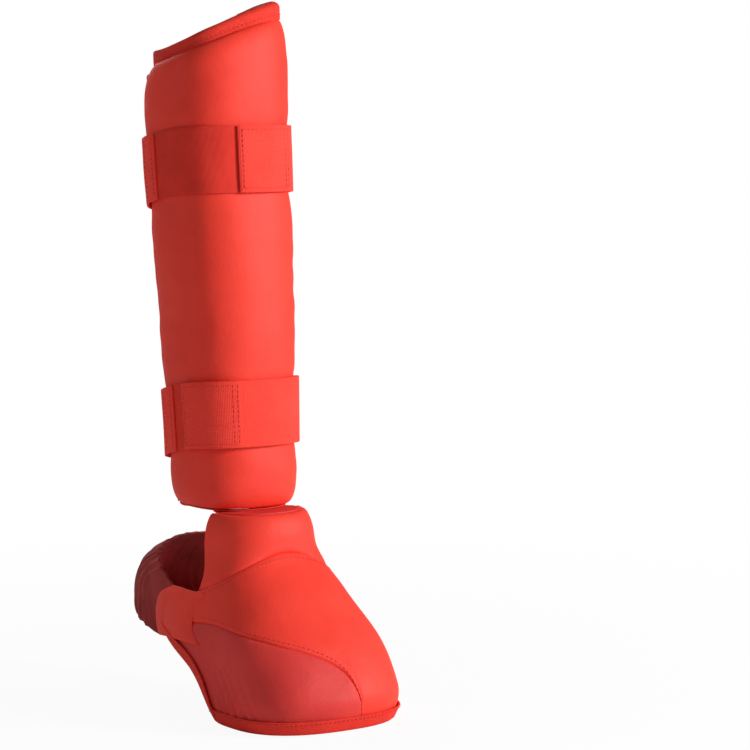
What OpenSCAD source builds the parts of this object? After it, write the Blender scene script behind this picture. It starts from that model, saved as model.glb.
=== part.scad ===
// Shin and instep guard for karate: a padded sleeve round the shin, closed behind
// by two pairs of flaps and two elastic straps, with a padded instep guard that
// hangs from its front hem.
// +Z runs up the leg, -Y points at the toes, and the origin is on the leg's axis
// at the level of the toe hem. u is the angle round the leg, 0 at the front,
// 90 at +X and 180 behind; d is the distance outward from a moulded surface.

/* [Shin sleeve] */
// Height of the top rim above the toe hem, at the middle of the front
rim_height = 488; // [470:1:500]
// How much higher the rim stands at +X than at the front
rim_rise = 17; // [8:1:24]
// Height of the lower hem of the padded shell
hem_height = 145; // [145:0.5:150]
// Thickness of the shell's foam
shell_foam = 8; // [6:0.5:9]
// Thickness of the lined sleeve inside the shell
liner = 3.5; // [2.5:0.5:4]
// Angle from the front at which the padded shell ends and the flaps start
shell_angle = 118; // [112:1:120]

/* [Flaps] */
// Thickness of the closing flaps
flap_thick = 5.5; // [5:0.5:6.5]
// Height of the slit between the upper and the lower flaps
slit_height = 312; // [300:1:320]
// Height of the lower flaps' bottom edge
flap_bottom = 124; // [110:1:125]

/* [Straps] */
// Width of the elastic straps
strap_width = 48; // [38:1:52]
// Height of the upper strap's middle
upper_strap_height = 396; // [375:1:400]
// Height of the lower strap's middle
lower_strap_height = 214; // [200:1:230]
// Thickness of the elastic
elastic = 1.6; // [1.2:0.1:2]

/* [Instep guard] */
// Thickness of the instep foam
instep_foam_thick = 6; // [4:0.5:7]
// Height of the collar's top edge
collar_top = 143; // [138:0.5:143.5]
// Width of the strap under the sole
sole_strap_width = 42; // [35:1:44]

/* [Hidden] */
skin = 1.2;          // coated fabric of the covers
tape = 1.1;          // folded edge binding
hem_tape_drop = 1.9; // the hem's tape reaches this far below the pad's edge

red = [0.90, 0.16, 0.12];
deep_red = [0.66, 0.14, 0.13];
inner_red = [0.72, 0.12, 0.12];
foam_grey = [0.85, 0.84, 0.80];

// ---------- moulded surfaces ----------
// A section is an egg: centre y, half width, depth to the front, depth to the back.
// Squareness 2 is an ellipse, and more is a rounder-cornered square.
// height, centre y, half width, front depth, back depth, squareness of the back
shin_sections = [
    [100, 1, 38, 39, 37, 2.5],
    [145, 5, 42, 41, 42, 2.5],
    [210, 9, 44, 43, 44, 2.5],
    [300, 16, 46.5, 45, 46, 2.5],
    [400, 26, 48.5, 47, 48, 2.5],
    [520, 34, 50, 48, 49, 2.5]];
instep_sections = [
    [-5, -87, 60, 49, 50, 2.8],
    [8, -89, 64, 52, 62, 3],
    [24, -88, 65, 54, 82, 3.2],
    [55, -71, 61.5, 52, 110, 3.8],
    [85, -42, 52, 51.5, 86, 3.4],
    [112, -17, 44, 47.5, 46, 2.6],
    [130, -10, 42.5, 49, 43, 2.5],
    [150, -8, 40.5, 48, 41, 2.5]];
front_squareness = 2.5;

// Smooth curve through a table's rows, in their first column.
function row_before(t, z, i = 0) = i >= len(t) - 2 || z < t[i + 1][0] ? i : row_before(t, z, i + 1);
function slope(t, i, c) = let(a = max(i - 1, 0), b = min(i + 1, len(t) - 1))
    (t[b][c] - t[a][c]) / (t[b][0] - t[a][0]);
function smooth(t, z, c) =
    let(i = row_before(t, z), w = t[i + 1][0] - t[i][0], s = max(0, min(1, (z - t[i][0]) / w)))
    (1 + 2 * s) * pow(1 - s, 2) * t[i][c] + s * s * (3 - 2 * s) * t[i + 1][c]
    + w * s * pow(1 - s, 2) * slope(t, i, c) - w * s * s * (1 - s) * slope(t, i + 1, c);

function on_section(t, u, z) =
    let(front = cos(u) >= 0, a = smooth(t, z, 2), b = smooth(t, z, front ? 3 : 4),
        n = front ? front_squareness : smooth(t, z, 5),
        r = pow(pow(abs(sin(u)) / a, n) + pow(abs(cos(u)) / b, n), -1 / n))
    [r * sin(u), smooth(t, z, 1) - r * cos(u), z];
function unit(v) = v / norm(v);
function outward(t, u, z) = unit(cross(
    on_section(t, u + 0.6, z) - on_section(t, u - 0.6, z),
    on_section(t, u, z + 0.6) - on_section(t, u, z - 0.6)));
function at(t, u, z, d) = on_section(t, u, z) + d * outward(t, u, z);
function mix(a, b, s) = a + (b - a) * s;

// ---------- solids from grids of points ----------
// Closed solid between an outer and an inner grid of the same size.
module skin_of(outer, inner) {
    nu = len(outer) - 1;
    nv = len(outer[0]) - 1;
    n = (nu + 1) * (nv + 1);
    function id(i, j, side) = side * n + i * (nv + 1) + j;
    function quad(a, b, c, e) = [[a, b, c], [a, c, e]];
    faces = concat(
        [for (i = [0:nu - 1], j = [0:nv - 1],
            f = quad(id(i, j, 0), id(i, j + 1, 0), id(i + 1, j + 1, 0), id(i + 1, j, 0))) f],
        [for (i = [0:nu - 1], j = [0:nv - 1],
            f = quad(id(i, j, 1), id(i + 1, j, 1), id(i + 1, j + 1, 1), id(i, j + 1, 1))) f],
        [for (i = [0:nu - 1], f = quad(id(i, 0, 0), id(i + 1, 0, 0), id(i + 1, 0, 1), id(i, 0, 1))) f],
        [for (i = [0:nu - 1], f = quad(id(i, nv, 0), id(i, nv, 1), id(i + 1, nv, 1), id(i + 1, nv, 0))) f],
        [for (j = [0:nv - 1], f = quad(id(0, j, 0), id(0, j, 1), id(0, j + 1, 1), id(0, j + 1, 0))) f],
        [for (j = [0:nv - 1], f = quad(id(nu, j, 0), id(nu, j + 1, 0), id(nu, j + 1, 1), id(nu, j, 1))) f]);
    polyhedron([for (column = outer, p = column) p, for (column = inner, p = column) p], faces);
}

// Solid swept by a closed profile of [inward, outward] steps along an edge.
// Each stop of the edge is [point, outward normal].
module tape_along(stops, profile, inward = 1, closed = false) {
    n = len(stops);
    m = len(profile);
    rings = [for (i = [0:n - 1]) let(
        p = stops[i][0],
        next = closed ? stops[(i + 1) % n][0] : stops[min(i + 1, n - 1)][0],
        last = closed ? stops[(i + n - 1) % n][0] : stops[max(i - 1, 0)][0],
        out = stops[i][1],
        into = unit(cross(out, unit(next - last))) * inward)
        [for (q = profile) p + q[0] * into + q[1] * out]];
    sides = [for (i = [0:n - (closed ? 1 : 2)], k = [0:m - 1]) let(
        a = i * m + k, b = i * m + (k + 1) % m,
        c = ((i + 1) % n) * m + (k + 1) % m, e = ((i + 1) % n) * m + k)
        each (inward > 0 ? [[a, b, c], [a, c, e]] : [[a, c, b], [a, e, c]])];
    ends = closed ? [] : inward > 0
        ? [[for (k = [m - 1:-1:0]) k], [for (k = [0:m - 1]) (n - 1) * m + k]]
        : [[for (k = [0:m - 1]) k], [for (k = [m - 1:-1:0]) (n - 1) * m + k]];
    polyhedron([for (r = rings, p = r) p], concat(sides, ends));
}

// Folded tape over an edge whose stack runs from d = top down to d = bottom. The leg that
// shows reaches further in than the hidden one.
function fold(top, bottom, reach, gap = 0.35, hidden_reach = 3, hidden_gap = 0.35, edge_gap = 0.35) = [
    [reach, top + gap], [-edge_gap, top + gap],
    [-edge_gap, bottom - hidden_gap], [hidden_reach, bottom - hidden_gap],
    [hidden_reach, bottom - hidden_gap - tape], [-edge_gap - tape, bottom - hidden_gap - tape],
    [-edge_gap - tape, top + gap + tape], [reach, top + gap + tape]];

// ---------- shin sleeve ----------
wrap_step = 8;           // degrees between the columns that sleeve and straps share
rows = 11;
shell_in = -skin - shell_foam;           // inner face of the foam
lining_in = shell_in - liner;

rim_lean = 57;           // the rim is highest at this angle, between the front and +X
function rim(u) = rim_height + rim_rise * cos(u - rim_lean);
shoulder_start = 92;                     // angle at which the shell's top corner starts to drop
shoulder_drop = 18;
function corner(s) = 1 - sqrt(max(0, 1 - s * s));
function shell_top(u) = rim(u) - 8
    - shoulder_drop * corner(max(0, abs(u) - shoulder_start) / (shell_angle - shoulder_start));
function columns_between(u0, u1) = concat([u0],
    [for (u = [ceil((u0 + 0.01) / wrap_step) * wrap_step:wrap_step:u1 - 0.01]) u], [u1]);
sleeve_columns = columns_between(-shell_angle, shell_angle);
// The pad thins towards its top and bottom edges, like a pillow.
edge_round = 16;
edge_drop = shell_foam * 0.7;
function pillow(u, z) =
    let(rest = min(z - hem_height, shell_top(u) - z), s = max(0, 1 - rest / edge_round))
    -edge_drop * corner(s);
// Rows crowd towards both edges, where the pad curves most.
function shell_row(s) = let(edge = 0.035) s <= 0 ? 0 : s >= 1 ? 1
    : s < 2 / rows ? s * rows / 2 * edge : s > 1 - 2 / rows ? 1 - (1 - s) * rows / 2 * edge
    : mix(edge, 1 - edge, (s - 2 / rows) / (1 - 4 / rows));
function shell_grid(lift) = [for (u = sleeve_columns)
    [for (j = [0:rows]) let(z = mix(hem_height, shell_top(u), shell_row(j / rows)))
        at(shin_sections, u, z, lift == undef ? shell_in : pillow(u, z) + lift)]];
function sleeve_grid(d) = [for (u = sleeve_columns)
    [for (j = [0:rows]) let(z = j < rows ? mix(hem_height, shell_top(u), shell_row(j / rows)) : rim(u))
        at(shin_sections, u, z, d)]];

module shell_cover() color(red) skin_of(shell_grid(0), shell_grid(-skin));
module shell_foam() color(foam_grey) skin_of(shell_grid(-skin), shell_grid());
module sleeve_lining() color(inner_red) skin_of(sleeve_grid(shell_in - 0.02), sleeve_grid(lining_in));

module rim_binding() color(red) {
    stops = [for (u = sleeve_columns) [at(shin_sections, u, rim(u), 0), outward(shin_sections, u, rim(u))]];
    tape_along(stops, fold(shell_in, lining_in, 5), -1);
}

// Narrow tape that finishes the shell's lower hem.
module shell_hem_tape() color(red) {
    stops = [for (u = sleeve_columns)
        [at(shin_sections, u, hem_height, 0), outward(shin_sections, u, hem_height)]];
    top = -edge_drop - skin;
    tape_along(stops, [[-0.1, top], [-0.1, lining_in], [-1.2, lining_in], [-1.2, top]], 1);
}

// ---------- flaps ----------
flap_out = -1.2;
flap_in = flap_out - flap_thick;
flap_tuck = 6;           // a flap's sewn edge lies this much deeper, in line with the lining
function tuck(u) = flap_tuck * pow(max(0, 1 - (abs(u) - flap_start) / 24), 2);
flap_start = shell_angle + 1.6;
flap_end = 177.6;
flap_columns = 7;
flap_rows = 6;
slit = 1.5;
split_top = 434;         // where the closing edges of the flaps part at the top
// The -X flap starts under the shell's shoulder, and the other one at the rim.
function flap_top(side, u) = mix(side > 0 ? rim(min(u, 136)) : rim(-shell_angle) - 17,
    split_top, corner(max(0, u - 136) / 44));
function low_edge(u) = flap_bottom + 40 * corner(max(0, u - 134) / 46);
function flap_span(s) = mix(flap_start, flap_end, pow(s, 0.85));
function flap_grid(side, low, d) = [for (i = [0:flap_columns]) let(
        u = flap_span(side > 0 ? i / flap_columns : 1 - i / flap_columns),
        z0 = low ? low_edge(u) : slit_height + slit / 2 + 2,
        z1 = low ? slit_height - slit / 2 - 2 : flap_top(side, u))
    [for (j = [0:flap_rows]) at(shin_sections, side * u, mix(z0, z1, j / flap_rows), d - tuck(u))]];
module flap(side, low) skin_of(flap_grid(side, low, flap_out), flap_grid(side, low, flap_in));
// Tape round the free edges: top, closing edge and bottom.
module flap_binding(side, low) {
    g = flap_grid(side, low, 0);
    free = side > 0 ? flap_columns : 0;
    function stop(i, j) = let(p = g[i][j]) [p, unit(at_normal(p))];
    function at_normal(p) = let(u = atan2(p[0], smooth(shin_sections, p[2], 1) - p[1]))
        outward(shin_sections, u, p[2]);
    order = side > 0 ? [for (i = [0:flap_columns]) i] : [for (i = [flap_columns:-1:0]) i];
    back_order = side > 0 ? [for (i = [flap_columns:-1:0]) i] : [for (i = [0:flap_columns]) i];
    stops = concat([for (i = order) stop(i, 0)],
        [for (j = [1:flap_rows - 1]) stop(free, j)],
        [for (i = back_order) stop(i, flap_rows)]);
    tape_along(stops, fold(flap_out, flap_in, 4, 0.3, 4, 0.4), side);
}
module upper_left_flap() color(red) flap(1, false);
module upper_right_flap() color(red) flap(-1, false);
module lower_left_flap() color(red) flap(1, true);
module lower_right_flap() color(red) flap(-1, true);
module upper_left_flap_binding() color(deep_red) flap_binding(1, false);
module upper_right_flap_binding() color(deep_red) flap_binding(-1, false);
module lower_left_flap_binding() color(deep_red) flap_binding(1, true);
module lower_right_flap_binding() color(deep_red) flap_binding(-1, true);

// ---------- straps ----------
loop_band = 1.2;
strap_in = loop_band + 0.7;
strap_out = strap_in + elastic;
hooks = 0.8;
tab_in = strap_in + hooks;
tab_out = tab_in + 1.4;
strap_sag = 18;          // how much lower a strap lies behind the leg than in front
tab_hinge = 80;          // where the elastic folds away from the side of the shin
anchor_angle = 241;      // the strap's sewn end, behind the -X side
upper_tab_end = -16;
upper_tab_seam = 40;
lower_tab_end = -80;
lower_tab_seam = -24;
end_margin = 8;          // degrees of bare tab beyond its hooks
// A band round the shin from angle u0 to u1, one strap wide.
module band(middle, u0, u1, d0, d1, width = strap_width) {
    function grid(d) = [for (u = columns_between(u0, u1)) let(
            z = middle - strap_sag * pow((1 - cos(u)) / 2, 2))
        [for (j = [-0.5, 0, 0.5]) at(shin_sections, u, z + j * width, d)]];
    skin_of(grid(d1), grid(d0));
}
module loop_band(middle) color(red) band(middle, -112, 112, 0.3, loop_band);
module anchor(middle) color(red) band(middle, anchor_angle + 1, 264, loop_band + 0.25, strap_out);
module strap(middle) color(red) band(middle, tab_hinge + 1, anchor_angle - 1, strap_in, strap_out);
module tab(middle, end) color(red) band(middle, end, tab_hinge, tab_in, tab_out);
module tab_hooks(middle, end, seam) color(deep_red)
    band(middle, end + end_margin, seam, strap_in - 0.2, tab_in - 0.05, strap_width - 6);
module upper_loop_band() loop_band(upper_strap_height);
module lower_loop_band() loop_band(lower_strap_height);
module upper_strap_anchor() anchor(upper_strap_height);
module lower_strap_anchor() anchor(lower_strap_height);
module upper_strap() strap(upper_strap_height);
module lower_strap() strap(lower_strap_height);
module upper_strap_tab() tab(upper_strap_height, upper_tab_end);
module lower_strap_tab() tab(lower_strap_height, lower_tab_end);
module upper_tab_hooks() tab_hooks(upper_strap_height, upper_tab_end, upper_tab_seam);
module lower_tab_hooks() tab_hooks(lower_strap_height, lower_tab_end, lower_tab_seam);

// ---------- instep guard ----------
pad_columns = 30;
pad_rows = 7;
hem = hem_tape_drop;
foam_out = -skin;
foam_in = foam_out - instep_foam_thick;
pad_in = foam_in - skin;
// Height of the arched seam between the collar and the main panel.
function collar_seam(a) = 82 + 34 * pow(max(0, cos(a * 0.9)), 1.3);
// How far round the foot the pad reaches at each height.
pad_reach = [[-5, 112], [2, 114], [8, 118], [16, 121], [35, 129], [46, 142], [56, 152], [66, 153],
    [80, 143], [92, 118], [104, 101], [120, 91], [150, 82]];
function reach(z) = smooth(pad_reach, z, 1);
// Height of the arched seam between the side panel and the main panel.
side_seam_points = [[-130, 60], [-90, 68], [-63, 67], [-33, 59], [-13, 51], [0, 42], [6, 33], [10, 20],
    [13, hem_tape_drop]];
function side_seam(a) = max(hem + 5, smooth(side_seam_points, min(a, 13), 1));
nominal = 130;
function pad_point(t, z, d) = at(instep_sections, t * reach(z), z, d);
function share(i) = 2 * i / pad_columns - 1;
function pad_grid(z0, z1, n, d, first = 0, last = pad_columns) = [for (i = [first:last]) let(t = share(i))
    [for (j = [0:n]) pad_point(t, mix(z0(t), z1(t), j / n), d)]];
hem_line = function(t) hem;
collar_line = function(t) collar_seam(t * 100);
side_line = function(t) side_seam(t * nominal);
top_line = function(t) collar_top;
side_rows = 5;
// The pad's layers share their columns and rows, so they lie face to face.
function row_at(t, j) = j <= side_rows ? mix(hem, side_line(t), j / side_rows)
    : mix(side_line(t), collar_line(t), (j - side_rows) / pad_rows);
function whole_grid(d) = [for (i = [0:pad_columns]) let(t = share(i))
    [for (j = [0:side_rows + pad_rows]) pad_point(t, row_at(t, j), d)]];

module instep_main_panel() color(red)
    skin_of(pad_grid(side_line, collar_line, pad_rows, 0),
        pad_grid(side_line, collar_line, pad_rows, -skin));
module instep_side_panel() color(deep_red)
    skin_of(pad_grid(hem_line, side_line, side_rows, 0), pad_grid(hem_line, side_line, side_rows, -skin));
module instep_foam() color(foam_grey) skin_of(whole_grid(foam_out), whole_grid(foam_in));
module instep_lining() color(inner_red) skin_of(whole_grid(foam_in), whole_grid(pad_in));
module instep_hem_binding() {
    rise = side_rows + pad_rows - 1;
    function stop(t, z) = [pad_point(t, z, 0), outward(instep_sections, t * reach(z), z)];
    function side(t, rows) = [for (j = rows) stop(t, row_at(t, j))];
    stops = concat(side(-1, [rise:-1:1]), [for (i = [0:pad_columns]) stop(share(i), hem)],
        side(1, [1:rise]));
    color(red) tape_along(stops, fold(0, pad_in, 6, 0.45, 2.5, 0.9, 0.8), 1);
}

collar_out = 0.6;
collar_in = -7.5;
collar_rows = 6;
collar_roll = 4;         // how far the collar's cover rolls in at its top edge
function collar_face(v) = collar_out - collar_roll * corner(max(0, (v - 0.55) / 0.45));
// lift is above the rolled face where it is given, and else d is a plain depth.
function collar_grid(lift, d) = [for (i = [3:pad_columns - 3]) let(t = share(i), z0 = collar_line(t))
    [for (j = [0:collar_rows]) let(s = j / collar_rows)
        pad_point(t, mix(z0, collar_top, s), lift == undef ? d : collar_face(s) + lift)]];
module collar_cover() color(red) skin_of(collar_grid(0), collar_grid(-skin));
module collar_foam() color(foam_grey) skin_of(collar_grid(-skin), collar_grid(undef, collar_in + skin));
module collar_lining() color(inner_red)
    skin_of(collar_grid(undef, collar_in + skin), collar_grid(undef, collar_in));

// Web that ties the collar's front to the shell's hem.
gusset_angle = 66;
gusset_top = hem_height - 2;
function gusset_point(u, z, s) =
    let(a = at(shin_sections, u, hem_height, lining_in),
        b = at(instep_sections, u, collar_top, collar_in - 0.6))
    [mix(a[0], b[0], s), mix(a[1], b[1], s), z];
function gusset_grid(z) = [for (i = [0:10]) let(u = mix(-gusset_angle, gusset_angle, i / 10))
    [for (j = [0:3]) gusset_point(u, z, j / 3)]];
module instep_gusset() color(deep_red) skin_of(gusset_grid(gusset_top), gusset_grid(gusset_top - 1.4));

// ---------- straps of the instep guard ----------
over_binding = 2.2;      // clears the edge binding of the pad
function bend(a, b, pull, s) =   // cubic from a to b, both ends pulled the same way
    a * pow(1 - s, 3) + (a + pull) * 3 * s * pow(1 - s, 2)
    + (b + pull) * 3 * s * s * (1 - s) + b * pow(s, 3);
// Where the pad's rear edge is, as an angle round the foot.
function rear(z) = reach(z);
// Points from one lapped end, round behind the foot, to the other.
// lap is how far each end reaches over the pad, in degrees.
function lapped(side, z, a0, a1, d, n) = [for (i = [0:n])
    at(instep_sections, side * mix(a0, a1, i / n), z, d)];
function slung(z, start, stop, pull, n) =
    [for (i = [0:n]) bend(start, stop, pull, i / n)];

sole_low = 4;
sole_high = sole_low + sole_strap_width * 0.72;
sole_pull = [0, 34, -2];
sole_out = pad_in - 2.5;  // its ends are sewn inside the pad, clear of the binding's inner leg
function sole_row(v, d) = let(z = mix(sole_low, sole_high, v), e = rear(z),
        pull = sole_pull + [0, (d - sole_out) * 1.3, 0])
    concat(lapped(-1, z, e - 14, e - 5, d, 1),
        slung(z, at(instep_sections, -e, z, d), at(instep_sections, e, z, d), pull, 12),
        lapped(1, z, e - 5, e - 14, d, 1));
cross_rows = 4;
patch_rows = 8;
// Turns rows that run along a strap into columns across it.
function across(rows) = [for (i = [0:len(rows[0]) - 1]) [for (row = rows) row[i]]];
function sole_grid(d) = across([for (j = [0:cross_rows]) sole_row(j / cross_rows, d)]);
module sole_strap() color(red) skin_of(sole_grid(sole_out), sole_grid(sole_out - elastic));

heel_low = 52;
heel_high = 87;
heel_low_pull = [0, 105, 18];
heel_high_pull = [0, 78, 36];
heel_thick = 2.2;
heel_gap = 2;            // degrees between the sewn end and the strap that folds from it
heel_in = over_binding + 0.4;
heel_tab_in = heel_in + hooks;
function heel_rear(z) = rear(z) + heel_gap;
function heel_point(side, z, d) = at(instep_sections, side * heel_rear(z), z, d);
function heel_row(v, out) = let(z = mix(heel_low, heel_high, v), d = out ? heel_thick : 0,
        pull = mix(heel_low_pull, heel_high_pull, v) - [0, (out ? 0 : heel_thick) * 1.3, 0])
    slung(z, heel_point(1, z, heel_in + d), heel_point(-1, z, heel_tab_in + d), pull, 16);
function heel_grid(out) = across([for (j = [0:patch_rows]) heel_row(j / patch_rows, out)]);
module heel_strap() color(deep_red) skin_of(heel_grid(true), heel_grid(false));
// A patch on the pad beside its rear edge, from lap to lead degrees before the edge.
module heel_patch(side, lap, lead, z0, z1, d0, d1) {
    function from_edge(z, s) = rear(z) - mix(side > 0 ? lap : lead, side > 0 ? lead : lap, s);
    function grid(d) = [for (i = [0:patch_rows]) [for (j = [0:patch_rows]) let(
            z = mix(z0, z1, j / patch_rows))
        at(instep_sections, side * from_edge(z, i / patch_rows), z, d)]];
    skin_of(grid(d1), grid(d0));
}
heel_tab_out = heel_tab_in + heel_thick;
module heel_strap_anchor() color(deep_red)
    heel_patch(1, 12, -0.6, heel_low, heel_high, over_binding, heel_in + heel_thick);
module heel_strap_tab() color(red)
    heel_patch(-1, 34, -heel_gap, heel_low, heel_high, heel_tab_in, heel_tab_out);
module heel_tab_hooks() color(deep_red)
    heel_patch(-1, 31, 9, heel_low + 4, heel_high - 4, heel_in - 0.2, heel_tab_in - 0.3);
module heel_loop_patch() color(deep_red) heel_patch(-1, 34, 9, heel_low + 2, heel_high - 2, 0.35, 1.35);

shell_cover();
shell_foam();
sleeve_lining();
rim_binding();
shell_hem_tape();
upper_loop_band();
lower_loop_band();
upper_strap_anchor();
lower_strap_anchor();
instep_gusset();
upper_left_flap();
upper_left_flap_binding();
upper_right_flap();
upper_right_flap_binding();
lower_left_flap();
lower_left_flap_binding();
lower_right_flap();
lower_right_flap_binding();
upper_strap();
upper_strap_tab();
upper_tab_hooks();
lower_strap();
lower_strap_tab();
lower_tab_hooks();
instep_main_panel();
instep_side_panel();
instep_foam();
instep_lining();
instep_hem_binding();
collar_cover();
collar_foam();
collar_lining();
sole_strap();
heel_strap_anchor();
heel_loop_patch();
heel_strap();
heel_strap_tab();
heel_tab_hooks();
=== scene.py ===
# %% [markdown]
# # A karate shin and instep guard
# The guard is a padded sleeve for the shin with a padded instep hung from its hem. The frame
# brings the engineer's solids, with every body and joint in place. Each soft solid is then
# given its sewn and padded look here, in the same frame and in metres.

import math

import bpy
import numpy as np
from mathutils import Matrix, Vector


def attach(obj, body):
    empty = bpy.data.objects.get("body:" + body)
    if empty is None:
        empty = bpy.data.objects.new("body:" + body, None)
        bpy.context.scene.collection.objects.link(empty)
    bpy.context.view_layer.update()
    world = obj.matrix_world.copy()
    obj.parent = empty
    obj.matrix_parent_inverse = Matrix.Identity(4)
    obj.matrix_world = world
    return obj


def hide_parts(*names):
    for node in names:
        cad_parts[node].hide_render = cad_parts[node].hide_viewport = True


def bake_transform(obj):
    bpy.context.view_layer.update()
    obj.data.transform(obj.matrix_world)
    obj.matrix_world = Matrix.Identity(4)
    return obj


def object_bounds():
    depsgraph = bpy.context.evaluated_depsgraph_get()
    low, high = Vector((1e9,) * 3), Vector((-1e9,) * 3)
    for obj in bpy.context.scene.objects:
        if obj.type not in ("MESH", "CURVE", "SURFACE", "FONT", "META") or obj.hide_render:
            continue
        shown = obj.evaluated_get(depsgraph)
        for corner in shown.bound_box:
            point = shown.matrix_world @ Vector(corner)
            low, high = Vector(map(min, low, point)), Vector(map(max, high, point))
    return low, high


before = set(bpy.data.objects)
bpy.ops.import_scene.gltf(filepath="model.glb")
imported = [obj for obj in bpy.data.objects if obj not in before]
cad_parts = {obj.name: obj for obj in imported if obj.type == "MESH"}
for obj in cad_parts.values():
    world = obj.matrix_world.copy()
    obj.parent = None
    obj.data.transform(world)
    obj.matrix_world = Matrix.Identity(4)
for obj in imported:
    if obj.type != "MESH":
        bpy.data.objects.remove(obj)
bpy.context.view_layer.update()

# %% [markdown]
# ## The forms
# A shoemaker sews every panel over a last. Here the last is a pair of formulas: a section like
# a rounded square at every height, for the shin and for the foot. They are the ones that the
# solids were made with, so a panel laid on them lies on its solid. u is the angle round the leg,
# 0 at the toes' side and 90 at +X, and d is the distance out from the surface, in mm.

# %% The two lasts
# height, centre y, half width, front depth, back depth, squareness of the back
SHIN = np.array([
    [100, 1, 38, 39, 37, 2.5],
    [145, 5, 42, 41, 42, 2.5],
    [210, 9, 44, 43, 44, 2.5],
    [300, 16, 46.5, 45, 46, 2.5],
    [400, 26, 48.5, 47, 48, 2.5],
    [520, 34, 50, 48, 49, 2.5]], float)
FOOT = np.array([
    [-5, -87, 60, 49, 50, 2.8],
    [8, -89, 64, 52, 62, 3.0],
    [24, -88, 65, 54, 82, 3.2],
    [55, -71, 61.5, 52, 110, 3.8],
    [85, -42, 52, 51.5, 86, 3.4],
    [112, -17, 44, 47.5, 46, 2.6],
    [130, -10, 42.5, 49, 43, 2.5],
    [150, -8, 40.5, 48, 41, 2.5]], float)
FRONT_SQUARENESS = 2.5


def smooth(table, x, column=1):
    """A smooth curve through one column of a table, over its first column."""
    xs, ys = table[:, 0], table[:, column]
    i = np.clip(np.searchsorted(xs, x, side="right") - 1, 0, len(xs) - 2)
    low, high = np.maximum(np.arange(len(xs)) - 1, 0), np.minimum(np.arange(len(xs)) + 1, len(xs) - 1)
    slopes = (ys[high] - ys[low]) / (xs[high] - xs[low])
    w = xs[i + 1] - xs[i]
    s = np.clip((x - xs[i]) / w, 0, 1)
    return ((1 + 2 * s) * (1 - s) ** 2 * ys[i] + s * s * (3 - 2 * s) * ys[i + 1]
            + w * s * (1 - s) ** 2 * slopes[i] - w * s * s * (1 - s) * slopes[i + 1])


def on_last(table, u, z):
    """Points on a last, in millimetres."""
    u, z = np.broadcast_arrays(np.asarray(u, float), np.asarray(z, float))
    sine, cosine = np.sin(np.radians(u)), np.cos(np.radians(u))
    depth = np.where(cosine >= 0, smooth(table, z, 3), smooth(table, z, 4))
    n = np.where(cosine >= 0, FRONT_SQUARENESS, smooth(table, z, 5))
    r = ((np.abs(sine) / smooth(table, z, 2)) ** n + (np.abs(cosine) / depth) ** n) ** (-1 / n)
    return np.stack([r * sine, smooth(table, z, 1) - r * cosine, z], -1)


def outward(table, u, z):
    """Unit normals of a last."""
    around = on_last(table, u + 0.6, z) - on_last(table, u - 0.6, z)
    up = on_last(table, u, z + 0.6) - on_last(table, u, z - 0.6)
    n = np.cross(around, up)
    return n / np.linalg.norm(n, axis=-1, keepdims=True)


def at(table, u, z, d=0.0):
    """Points at a distance d out from a last."""
    return on_last(table, u, z) + np.asarray(d, float)[..., None] * outward(table, u, z)


def mix(a, b, s):
    return a + (b - a) * s


def corner(s):
    """A quarter circle's fall, 0 at s = 0 and 1 at s = 1."""
    return 1 - np.sqrt(np.clip(1 - np.asarray(s, float) ** 2, 0, 1))


print("shin front at the hem:", on_last(SHIN, 0, 145), "toe:", on_last(FOOT, 0, 24))

# %% [markdown]
# ## Camera
# The guard stands left of the middle of a square picture, seen from its front right, with the
# eye near its top rim. The camera stands far off with a long lens, which keeps the sleeve's
# sides nearly parallel, as a catalogue photographer would.

# %% Camera
AZIMUTH = math.radians(327)
DISTANCE = 2.263
EYE_HEIGHT = 0.467
ASIDE = 0.1001   # how far right of the leg's axis the picture's middle looks
AIM_HEIGHT = 0.2380
LENS = 149.7   # in millimetres, on a film 36 mm wide
right = Vector((math.cos(AZIMUTH), math.sin(AZIMUTH), 0))
eye = Vector((DISTANCE * math.sin(AZIMUTH), -DISTANCE * math.cos(AZIMUTH), EYE_HEIGHT))
aim = right * ASIDE + Vector((0, 0, AIM_HEIGHT))
camera_data = bpy.data.cameras.new("camera")
camera_data.lens = LENS
camera_data.sensor_width = 36
camera = bpy.data.objects.new("camera", camera_data)
bpy.context.collection.objects.link(camera)
camera.location = eye
camera.rotation_euler = (aim - eye).to_track_quat("-Z", "Y").to_euler()
bpy.context.scene.camera = camera
print("camera at", tuple(round(c, 3) for c in eye))

# %% [markdown]
# ## Helpers for sewn pieces
# A panel starts as a flat grid, cut like cloth, and its points are then carried onto the last.
# The grid keeps its flat UV map, so that a weave runs along the strap or tape. A pad is two
# such panels, back to back, bridged along their edges.

# %% Laying panels
MM = 0.001


def deselect():
    if bpy.context.object and bpy.context.object.mode != "OBJECT":
        bpy.ops.object.mode_set(mode="OBJECT")
    bpy.ops.object.select_all(action="DESELECT")


def pick(piece):
    """Selects one piece, for the tools that work on the active object."""
    deselect()
    piece.select_set(True)
    bpy.context.view_layer.objects.active = piece


def lay(name, columns, rows, place, flip=False):
    """A grid of columns x rows whose points go to place(s, t), both from 0 to 1, in mm."""
    deselect()
    bpy.ops.mesh.primitive_grid_add(x_subdivisions=columns, y_subdivisions=rows, size=1, location=(0, 0, 0))
    piece = bpy.context.object
    piece.name = name
    flat = np.empty(len(piece.data.vertices) * 3)
    piece.data.vertices.foreach_get("co", flat)
    flat = flat.reshape(-1, 3) + 0.5
    piece.data.vertices.foreach_set("co", (place(flat[:, 0], flat[:, 1]) * MM).ravel())
    if flip:
        piece.data.flip_normals()
    piece.data.update()
    return piece


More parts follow.
